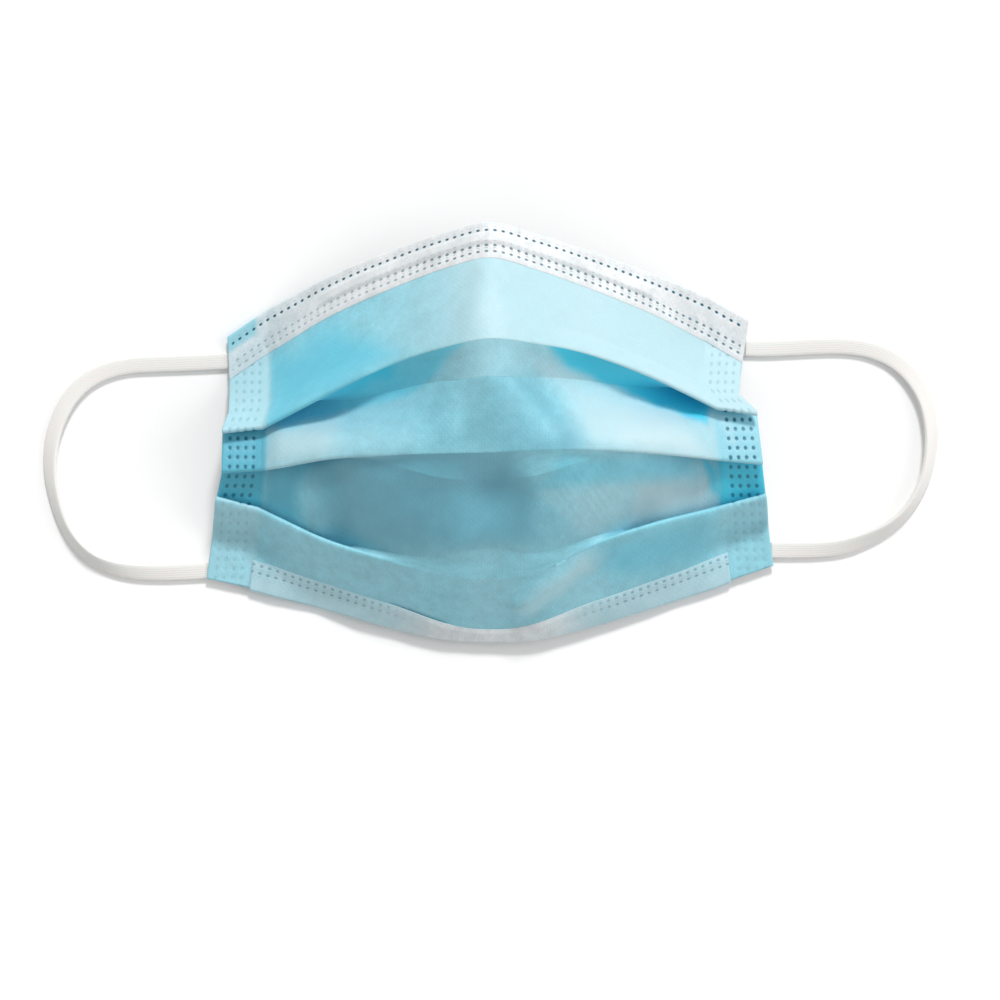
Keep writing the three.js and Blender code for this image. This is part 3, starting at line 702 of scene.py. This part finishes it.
class MASK_OT_stage(bpy.types.Operator):
    """Sets up the table, the light and the camera that looks straight down."""
    bl_idname = "face_mask.stage"
    bl_label = "Stage"

    def execute(self, context):
        stage = context.scene.face_mask.stage
        bm = bmesh.new()
        bmesh.ops.create_grid(bm, x_segments=1, y_segments=1, size=3)
        mesh = bpy.data.meshes.new("table")
        bm.to_mesh(mesh)
        bm.free()
        table = bpy.data.objects.new("table", mesh)
        context.scene.collection.objects.link(table)
        material, _, _ = new_material("table_top", stage.floor, 0.9)
        mesh.materials.append(material)

        self.add_sun(context, "key", stage.sun_turn, stage.sun_elevation, 2.06, math.radians(12))
        self.add_sun(context, "side", math.radians(85), math.radians(34), 0.65, math.radians(40))

        world = bpy.data.worlds.new("studio")
        world.use_nodes = True
        world.node_tree.nodes["Background"].inputs["Color"].default_value = (1, 1, 1, 1)
        world.node_tree.nodes["Background"].inputs["Strength"].default_value = 0.51
        context.scene.world = world

        camera = bpy.data.objects.new("camera", bpy.data.cameras.new("camera"))
        height, seen = 1.5, 1 / 3.3
        camera.location = (0, 0, height)
        camera.data.sensor_width = 36
        camera.data.lens = camera.data.sensor_width * height / seen
        camera.data.shift_x = 10 / 1000
        camera.data.shift_y = -66 / 1000
        context.scene.collection.objects.link(camera)
        context.scene.camera = camera
        context.scene.view_settings.view_transform = "Standard"
        return {"FINISHED"}

    def add_sun(self, context, name, turned, elevation, energy, angle):
        """A soft light from far away, turned so far from the nose side to the right."""
        sun = bpy.data.objects.new(name, bpy.data.lights.new(name, "SUN"))
        sun.data.energy = energy
        sun.data.angle = angle
        flat = math.cos(elevation)
        away = Vector((flat * math.sin(turned), flat * math.cos(turned), math.sin(elevation)))
        sun.rotation_mode = "QUATERNION"
        sun.rotation_quaternion = away.to_track_quat("Z", "Y")
        context.scene.collection.objects.link(sun)


class MASK_OT_ear_loops(bpy.types.Operator):
    """Makes both ear loops of flat knitted elastic, lying on the table."""
    bl_idname = "face_mask.ear_loops"
    bl_label = "Ear loops"

    def execute(self, context):
        elastic = context.scene.face_mask.elastic
        material = elastic_material(elastic.colour)
        for side, route in LOOP_ROUTES.items():
            self.make_loop(side, np.asarray(route), elastic, material)
        return {"FINISHED"}

    def make_loop(self, side, route, elastic, material):
        chords = np.concatenate([[0], np.cumsum(np.linalg.norm(np.diff(route, axis=0), axis=1))])
        stations = np.linspace(0, chords[-1], 260)
        path = through(chords, route, stations)
        leans = np.radians(through(*zip(*[(s * chords[-1], [a]) for s, a in LOOP_LEANS]), stations)[:, 0])
        ahead = np.gradient(path, axis=0)
        ahead /= np.linalg.norm(ahead, axis=1, keepdims=True)
        outwards = -1 if side == "left" else 1
        half_wide, half_thick = elastic.width / 2, elastic.thickness / 2

        bm = bmesh.new()
        thread = bm.verts.layers.float_vector.new("thread")
        ring = bmesh.ops.create_circle(bm, cap_ends=True, segments=36, radius=1)["verts"]
        for v in ring:
            x, y, _ = v.co
            v.co = (math.copysign(abs(x) ** 0.45, x) * half_wide, math.copysign(abs(y) ** 0.6, y) * half_thick, 0)
            v[thread] = (0, v.co.x, v.co.y)
        edges = [e for e in bm.edges if e.is_valid]
        placed_at = Matrix.Identity(4)
        for i, (point, along, lean) in enumerate(zip(path, ahead, leans)):
            side_way = Vector((along[1], -along[0], 0)) * outwards * (1 if side == "right" else 1)
            up = Vector((0, 0, 1))
            wide = side_way * math.cos(lean) + up * math.sin(lean)
            thick = up * math.cos(lean) - side_way * math.sin(lean)
            height = math.sin(abs(lean)) * half_wide * 0.93 + math.cos(lean) * half_thick
            centre = Vector((point[0], point[1], height))
            forward = wide.cross(thick)
            now = Matrix((wide, thick, forward)).transposed().to_4x4()
            now.translation = centre
            if i:
                made = bmesh.ops.extrude_edge_only(bm, edges=edges)["geom"]
                ring = [g for g in made if isinstance(g, bmesh.types.BMVert)]
                edges = [g for g in made if isinstance(g, bmesh.types.BMEdge)]
            bmesh.ops.transform(bm, matrix=now @ placed_at.inverted(), verts=ring)
            for v in ring:
                v[thread] = (stations[i], v[thread].y, v[thread].z)
            placed_at = now
        bmesh.ops.contextual_create(bm, geom=edges)
        bmesh.ops.recalc_face_normals(bm, faces=bm.faces)
        mesh = bpy.data.meshes.new(f"elastic_{side}")
        bm.to_mesh(mesh)
        bm.free()
        mesh.polygons.foreach_set("use_smooth", [True] * len(mesh.polygons))
        mesh.materials.append(material)
        loop = bpy.data.objects.new(f"elastic_{side}", mesh)
        bpy.context.scene.collection.objects.link(loop)
        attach(loop, "root")
        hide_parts(f"ear_loop_{side}")


class MASK_OT_loop_ends(bpy.types.Operator):
    """Makes the four flattened ends of the elastics, welded under the corners of the cloth."""
    bl_idname = "face_mask.loop_ends"
    bl_label = "Welded loop ends"

    def execute(self, context):
        elastic = context.scene.face_mask.elastic
        material = bpy.data.materials["knitted_elastic"]
        for side in LOOP_ROUTES:
            for edge in ("top", "bottom"):
                self.make_end(f"loop_tab_{side}_{edge}", elastic, material)
        return {"FINISHED"}

    def make_end(self, node_name, elastic, material):
        low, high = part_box(node_name)
        size, middle = high - low, (low + high) / 2
        bm = bmesh.new()
        bmesh.ops.create_grid(bm, x_segments=60, y_segments=34, size=0.5)
        thread = bm.verts.layers.float_vector.new("thread")
        for v in bm.verts:
            v.co = (v.co.x * size.x, v.co.y * size.y, 0)
            v[thread] = (v.co.x, v.co.y, 0)
        made = bmesh.ops.extrude_face_region(bm, geom=list(bm.faces))["geom"]
        upper = [g for g in made if isinstance(g, bmesh.types.BMVert)]
        bmesh.ops.translate(bm, vec=(0, 0, size.z), verts=upper)
        bmesh.ops.recalc_face_normals(bm, faces=bm.faces)
        for v in bm.verts:
            x, y = v.co.x, v.co.y
            edge = min(size.x / 2 - abs(x), size.y / 2 - abs(y))
            rounded = 1 - math.sqrt(max(0.0, 1 - max(0.0, 1 - edge / 0.0004) ** 2))
            pit = math.sin(math.pi * x / 0.0015) ** 2 * math.sin(math.pi * y / 0.00125) ** 2
            rib = math.sin(2 * math.pi * y / 0.0007) * 0.00004
            inset = rounded * 0.0004 + (0.00018 * pit + rib) * min(1.0, edge / 0.0005)
            v.co.z += inset if v.co.z < size.z / 2 else -inset
        bmesh.ops.translate(bm, vec=(middle.x, middle.y, low.z), verts=bm.verts)
        mesh = bpy.data.meshes.new(f"{node_name}_weld")
        bm.to_mesh(mesh)
        bm.free()
        mesh.polygons.foreach_set("use_smooth", [True] * len(mesh.polygons))
        mesh.materials.append(material)
        end = bpy.data.objects.new(f"{node_name}_weld", mesh)
        bpy.context.scene.collection.objects.link(end)
        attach(end, "root")
        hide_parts(node_name)


class MASK_OT_cloth(bpy.types.Operator):
    """Makes the outer cloth and the lining of the pleated panel."""
    bl_idname = "face_mask.cloth"
    bl_label = "Cloth"

    def execute(self, context):
        cloth = context.scene.face_mask.cloth
        at = across_places()
        line, _, _, panels = section(at, cloth)
        form = placed(at, line, np.concatenate(panels, 1), cloth)
        form = form + normals_of(form) * self.tension(form)[..., None]
        form[..., 2] += stand_off(form)
        across = np.concatenate([np.zeros((1, form.shape[1])),
                                 np.cumsum(np.linalg.norm(np.diff(form, axis=0), axis=-1), 0)], 0)
        down = np.concatenate([np.zeros((form.shape[0], 1)),
                               np.cumsum(np.linalg.norm(np.diff(form, axis=1), axis=-1), 1)], 1)
        middle = len(at) // 2
        flat = np.stack([across - across[middle], -np.broadcast_to(down[middle], down.shape)], -1)
        lift = cloth.ply_gap / 2 + cloth.ply / 2
        normal = normals_of(form)

        weld = np.clip(np.abs(at) - 1, 0, 1)[:, None] * cloth.weld
        pitch = cloth.dot_pitch
        dots = np.stack([np.broadcast_to((weld - 0.0016) / pitch, down.shape),
                         form[..., 1] / (pitch * 1.1),
                         np.broadcast_to((weld > 0.0016) & (weld < 0.0016 + 4 * pitch), down.shape) * 0.95], -1)
        dots[..., 2] *= self.per_panel((0.25, 1, 0.85, 0.15))
        # Painted light and shade as three shares: pale is painted highlight, deep painted saturated shadow, dark
        # painted shade. In the welds the cloth is painted deeper and darker as painted shade, most on the left,
        # paler on the left top and bottom as painted highlight, and without highlight in the lower panel's welds.
        in_weld = smoothstep(np.abs(at), 0.97, 1)[:, None]
        left_weld = in_weld * (at < 0)[:, None]
        toned = self.tones(form)
        pale = np.clip(self.painted_highlight(form[..., 0]) + toned["pale"], 0, 1)
        pale = np.maximum(pale * (1 - in_weld * self.per_panel((0, 0, 1, 0))),
                          left_weld * self.per_panel((0.5, 0, 0, 0.3)))
        deep = np.maximum(toned["deep"] * (1 - in_weld), in_weld * self.per_panel((0, 0.35, 0.9, 0)))
        deep = np.maximum(deep, left_weld * self.per_panel((0, 0.8, 0.9, 0)))
        dark = np.maximum(toned["dark"] * (1 - in_weld), left_weld * self.per_panel((0, 0.6, 0.45, 0)))
        near = np.hypot(dots[..., 0] % 1 - 0.5, dots[..., 1] % 1 - 0.5)
        dents = np.exp(-(near / 0.22) ** 2) * (dots[..., 2] > 0) * 0.00022
        # The outer cloth's three shades: a painted highlight, a painted saturated shadow and a painted shade.
        outer = grid_piece("outer_cloth", form + normal * (lift - dents)[..., None], flat, cloth.ply,
                           cloth_material("blue_cloth", cloth.blue, 0.7, "weld_dots", (0.0, 0.15, 0.24),
                                          ((0.5, 0.73, 0.79), (0.03, 0.6, 0.84), (0.1, 0.36, 0.48))))
        add_point_vectors(outer, "weld_dots", dots)
        add_point_vectors(outer, "tint_and_painted_light", np.stack([pale, deep, dark], -1))
        lining = grid_piece("lining", (form - normal * lift)[::2], flat[::2], cloth.ply,
                            cloth_material("white_lining", cloth.white, 0.4))
        for piece in (outer, lining):
            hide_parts("pleated_panel")
        return {"FINISHED"}

    def tension(self, form):
        """The pulled facets and soft creases of each open panel."""
        x, y = form[..., 0], form[..., 1]
        pull = np.zeros(x.shape)
        for panel, start, end, height, wide in CREASES:
            window = np.abs(np.sin(math.pi * self.along(panel, x.shape[1]))) ** 0.7
            ahead = np.array(end) - np.array(start)
            length = np.hypot(*ahead)
            ahead = ahead / length
            way = (x - start[0]) * ahead[0] + (y - start[1]) * ahead[1]
            off = (x - start[0]) * ahead[1] - (y - start[1]) * ahead[0]
            fade = smoothstep(way, -wide, wide) * (1 - smoothstep(way, length - wide, length + wide))
            pull += height * fade * np.exp(-(off / wide) ** 2) * window[None, :]
        window = np.abs(np.sin(math.pi * self.along("lower", x.shape[1]))) ** 0.8
        off = (x - 0.012) * 0.669 + (y + 0.0163) * 0.743
        facet = np.clip(off / 0.05, 0, 1) * (1 - smoothstep(x, 0.0645, 0.0705))
        hatch = np.sin(2 * math.pi * (x * 0.8 + y * 0.6) / 0.0021) * 0.00014
        hatch = hatch * smoothstep(off, 0, 0.005) * (1 - smoothstep(x, 0.03, 0.05))
        return pull + (hatch - facet * 0.0035) * window[None, :]

    def per_panel(self, values, folds=None):
        """One value a row of the grid: each open panel's, and each fold's after it."""
        top, middle, lower, bottom = values
        one, two, three = folds or (top, middle, bottom)
        rim = ROWS["turn"]
        rows = [top] * (ROWS["top"] + rim) + [one] * (HIDDEN - rim)
        rows += [middle] * (ROWS["middle"] + rim) + [two] * (HIDDEN - rim)
        rows += [lower] * ROWS["lower"] + [three] * HIDDEN + [bottom] * ROWS["bottom"]
        return np.array(rows)[None, :]

    def along(self, panel, rows):
        """How far down an open panel each row of the grid lies, from 0 before it to 1 after it."""
        first = {"top": 0, "middle": ROWS["top"] + HIDDEN, "bottom": rows - ROWS["bottom"],
                 "lower": rows - ROWS["bottom"] - HIDDEN - ROWS["lower"]}[panel]
        return np.clip((np.arange(rows) - first) / (ROWS[panel] - 1), 0, 1)

    def tones(self, form):
        """How much painted highlight (pale), painted saturated shadow (deep) and painted shade (dark) the cloth
        gets at each point, from its soft patches.
        """
        shares = {"pale": np.zeros(form.shape[:2]), "deep": np.zeros(form.shape[:2]),
                  "dark": np.zeros(form.shape[:2])}
        wobble = waves(form[..., 0], form[..., 1], 31, 0.012) * 0.0006
        panels = {"top": ((1, 0, 0, 0), (0, 0, 0)), "middle": ((0, 1, 0, 0), (1, 0, 0)),
                  "lower": ((0, 0, 1, 0), (0, 1, 0)), "bottom": ((0, 0, 0, 1), (0, 0, 1))}
        for panel, tone, amount, soft, corners in TONES:
            middle = np.mean(corners, axis=0)
            inside = np.ones(form.shape[:2])
            for start, end in zip(corners, corners[1:] + corners[:1]):
                way = np.array(end) - np.array(start)
                inwards = np.array((-way[1], way[0])) / np.hypot(*way)
                inwards *= np.sign(inwards @ (middle - start))
                depth = (form[..., :2] - np.array(start)) @ inwards + wobble
                inside = np.minimum(inside, smoothstep(depth, -soft, soft))
            share = inside * amount * self.per_panel(*panels[panel])
            shares[tone] = np.maximum(shares[tone], share)
        return shares

    def painted_highlight(self, x):
        """Where the cloth is painted paler as painted highlight, from 0 to 1: mostly towards the right, a little on
        the left of the middle and bottom panels, with a faint random mottle.
        """
        to_right = smoothstep(x, -0.045, 0.012) * self.per_panel((0.8, 0, 0, 0.1), (0.3, 0, 0))
        far_right = smoothstep(x, 0.015, 0.055) * self.per_panel((0, 0.6, 0.2, 0), (0, 0, 0))
        left = (1 - smoothstep(x, -0.04, -0.005)) * self.per_panel((0, 0.25, 0, 0.1), (0, 0, 0))
        return np.clip(to_right + far_right + left + waves(x, x * 0.3, 21, 0.02) * 0.04, 0, 1)


class MASK_OT_bands(bpy.types.Operator):
    """Makes the white strips turned over the nose edge and the chin edge, and the wire in its pocket."""
    bl_idname = "face_mask.bands"
    bl_label = "Edge strips and wire"

    def execute(self, context):
        cloth = context.scene.face_mask.cloth
        white = cloth_material("white_strip", cloth.strip, 0.35, "seam_dots", (0.01, 0.1, 0.15),
                               (cloth.strip, scaled(cloth.blue, 0.95)))
        self.nose_band(cloth, white)
        self.nose_wire(cloth)
        self.chin_band(cloth, white)
        return {"FINISHED"}

    def strip(self, name, at, line, edge_curve, flap, under, lift, ridge, cloth, material, seams, tint):
        """A strip that comes from under an edge, turns over it and lies on the front."""
        distances = np.linspace(0, 1, int(flap.max() / 0.0003) + 1)[None, :] * flap[:, None]
        front = points_at(edge_curve, distances)
        step = np.gradient(front, axis=1)
        step /= np.linalg.norm(step, axis=-1, keepdims=True)
        raise_way = np.stack([step[..., 1], -step[..., 0]], -1)
        if name == "chin_strip":
            raise_way = -raise_way
        sunk = smoothstep(distances, flap[:, None] - 0.0016, flap[:, None]) * cloth.ply * 1.1
        over = front + raise_way * (lift - sunk + ridge(at, distances))[..., None]
        back = points_at(edge_curve, np.broadcast_to(np.linspace(under, 0, 6), (len(at), 6)))
        below = back - raise_way[:, :1] * lift
        angles = np.linspace(-math.pi / 2, math.pi / 2, 9)[1:-1]
        outwards = -step[:, :1]
        round_edge = front[:, :1] + (outwards * np.cos(angles)[None, :, None]
                                     + raise_way[:, :1] * np.sin(angles)[None, :, None]) * lift
        points = np.concatenate([below, round_edge, over], 1)
        form = placed(at, line, points, cloth)
        across = np.concatenate([np.zeros((1, form.shape[1])),
                                 np.cumsum(np.linalg.norm(np.diff(form, axis=0), axis=-1), 0)], 0)
        across = across - across[len(at) // 2]
        hidden = np.concatenate([-np.linspace(under, 0, 6) - 0.001, angles * 0.0003])
        down = np.concatenate([np.broadcast_to(hidden, (len(at), len(hidden))), distances], 1)
        flat = np.stack([across, -down], -1)
        strength, row = seams(at, down)
        dots = np.stack([across / cloth.dot_pitch, row * 1.35 + 0.5, strength], -1)
        near = np.hypot((dots[..., 0] % 1 - 0.5) * cloth.dot_pitch, row * cloth.dot_pitch)
        dents = np.exp(-(near / 0.0006) ** 2) * strength * 0.00028
        normal = normals_of(form)
        if name == "chin_strip":
            normal = -normal
        form = form - normal * dents[..., None]
        form[..., 2] += stand_off(form)
        tint_and_painted_light = tint(at, down)
        tint_and_painted_light = np.stack([0 * tint_and_painted_light, tint_and_painted_light, tint_and_painted_light], -1)
        if name == "chin_strip":
            form, flat, dots, tint_and_painted_light = (v[:, ::-1] for v in (form, flat, dots, tint_and_painted_light))
        piece = grid_piece(name, form, flat, cloth.ply, material)
        add_point_vectors(piece, "seam_dots", dots)
        add_point_vectors(piece, "tint_and_painted_light", tint_and_painted_light)
        return piece

    def nose_band(self, cloth, white):
        at = np.concatenate([np.linspace(-2, -1, 24, endpoint=False), np.linspace(-1, 1, 330),
                             np.linspace(1, 2, 25)[1:]])
        line, top, _, _ = section(at, cloth)

        def ridge(places, distances):
            ends = 1 - smoothstep(np.abs(places), 0.7, 0.8)
            bump = np.exp(-((distances - 0.0055) / 0.0019) ** 6)
            return ends[:, None] * bump * 0.0011

        def seams(places, down):
            strength, row = np.zeros(down.shape), np.full(down.shape, 0.5)
            for distance in (0.0023, 0.008, 0.0102):
                near = np.abs(down - distance) < 0.0011
                row = np.where(near, (down - distance) / cloth.dot_pitch, row)
                strength = np.where(near, 1.0 if distance < 0.005 else 0.8, strength)
            faded = (1 - 0.5 * smoothstep(-places, 0.1, 0.7))[:, None]
            shown = (np.abs(places) < 1.9)[:, None] * np.where(down < 0.005, 1, faded)
            return strength * shown, row

        lift = cloth.ply * 1.5 + cloth.ply_gap + 0.0001
        flap = np.full(len(at), 0.0125)
        band = self.strip("nose_strip", at, line, top, flap, 0.0026, lift, ridge, cloth, white, seams,
                          self.nose_tint)
        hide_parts("nose_band")

    def nose_tint(self, places, down):
        """How blue the strip is: more to the left, and most in its upper left corner."""
        corner = smoothstep(-places, 1.15, 1.35)[:, None] * (1 - smoothstep(down, 0.003, 0.006))
        return np.maximum((0.06 + 0.22 * smoothstep(-places, 0.5, 1.2))[:, None], 0.85 * corner)

    def nose_wire(self, cloth):
        """The flat plastic-covered wire that lies between the cloth and the strip."""
        at = np.linspace(-0.745, 0.745, 220)
        line, top, _, _ = section(at, cloth)
        half_wide, half_thick = 0.0015, 0.0003
        round_share = np.linspace(0, 2 * math.pi, 21)[:-1]
        offsets = np.stack([np.sign(np.cos(round_share)) * np.abs(np.cos(round_share)) ** 0.4 * half_wide,
                            np.sin(round_share) * half_thick], -1)
        middle = points_at(top, np.broadcast_to([0.0053, 0.0055, 0.0057], (len(at), 3)))
        ahead = middle[:, 2] - middle[:, 0]
        ahead /= np.linalg.norm(ahead, axis=-1, keepdims=True)
        up = np.stack([ahead[:, 1], -ahead[:, 0]], -1)
        centre = middle[:, 1] + up * (cloth.ply * 1.5 + cloth.ply_gap + half_thick)
        rings = centre[:, None] + ahead[:, None] * offsets[None, :, :1] + up[:, None] * offsets[None, :, 1:]
        form = placed(at, line, rings, cloth)

        bm = bmesh.new()
        ring = bmesh.ops.create_circle(bm, cap_ends=True, segments=20, radius=1)["verts"]
        edges = list(bm.edges)
        for i, points in enumerate(form):
            if i:
                made = bmesh.ops.extrude_edge_only(bm, edges=edges)["geom"]
                ring = [g for g in made if isinstance(g, bmesh.types.BMVert)]
                edges = [g for g in made if isinstance(g, bmesh.types.BMEdge)]
            for v, point in zip(ring, points):
                v.co = point
        bmesh.ops.contextual_create(bm, geom=edges)
        bmesh.ops.recalc_face_normals(bm, faces=bm.faces)
        mesh = bpy.data.meshes.new("wire")
        bm.to_mesh(mesh)
        bm.free()
        mesh.polygons.foreach_set("use_smooth", [True] * len(mesh.polygons))
        material, _, _ = new_material("covered_wire", (0.8, 0.8, 0.78), 0.4)
        mesh.materials.append(material)
        wire = bpy.data.objects.new("wire", mesh)
        bpy.context.scene.collection.objects.link(wire)
        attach(wire, "root")
        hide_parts("nose_wire")

    def chin_band(self, cloth, white):
        at = np.linspace(-1, 1, 300)
        line, _, bottom, _ = section(at, cloth)
        edge_curve = bottom[:, ::-1]

        flap = 0.0042 + 0.0043 * smoothstep(np.abs(at), 0.02, 0.45)

        def ridge(places, distances):
            return np.zeros(distances.shape)

        def seams(places, down):
            strength, row = np.zeros(down.shape), np.full(down.shape, 0.5)
            for inset in (0.0012, 0.0034):
                way = down - (flap[:, None] - inset)
                near = np.abs(way) < 0.0011
                row = np.where(near, way / cloth.dot_pitch, row)
                strength = np.where(near, 0.45, strength)
            return strength * smoothstep(np.abs(places), 0.25, 0.6)[:, None], row

        lift = cloth.ply * 1.5 + cloth.ply_gap + 0.0001
        band = self.strip("chin_strip", at, line, edge_curve, flap, 0.006, lift, ridge, cloth, white, seams,
                          lambda places, down: 0.12 + 0.5 * smoothstep(np.abs(places), 0.15, 0.5)[:, None]
                          * np.ones(down.shape))
        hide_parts("chin_band")


class MASK_PT_panel(bpy.types.Panel):
    """Lists the pieces of the mask."""
    bl_idname = "MASK_PT_panel"
    bl_label = "Face mask"
    bl_space_type = "VIEW_3D"
    bl_region_type = "UI"
    bl_category = "Face mask"

    def draw(self, context):
        for name in STEPS:
            self.layout.operator(f"face_mask.{name}")


STEPS = ("stage", "ear_loops", "loop_ends", "cloth", "bands")
CLASSES = (ClothSettings, ElasticSettings, StageSettings, MaskSettings, MASK_OT_stage, MASK_OT_ear_loops,
           MASK_OT_loop_ends, MASK_OT_cloth, MASK_OT_bands, MASK_PT_panel)


def register():
    for each in CLASSES:
        bpy.utils.register_class(each)
    bpy.types.Scene.face_mask = bpy.props.PointerProperty(type=MaskSettings)


def unregister():
    del bpy.types.Scene.face_mask
    for each in reversed(CLASSES):
        bpy.utils.unregister_class(each)


def main():
    register()
    for name in STEPS:
        getattr(bpy.ops.face_mask, name)()


if __name__ == "__main__":
    main()
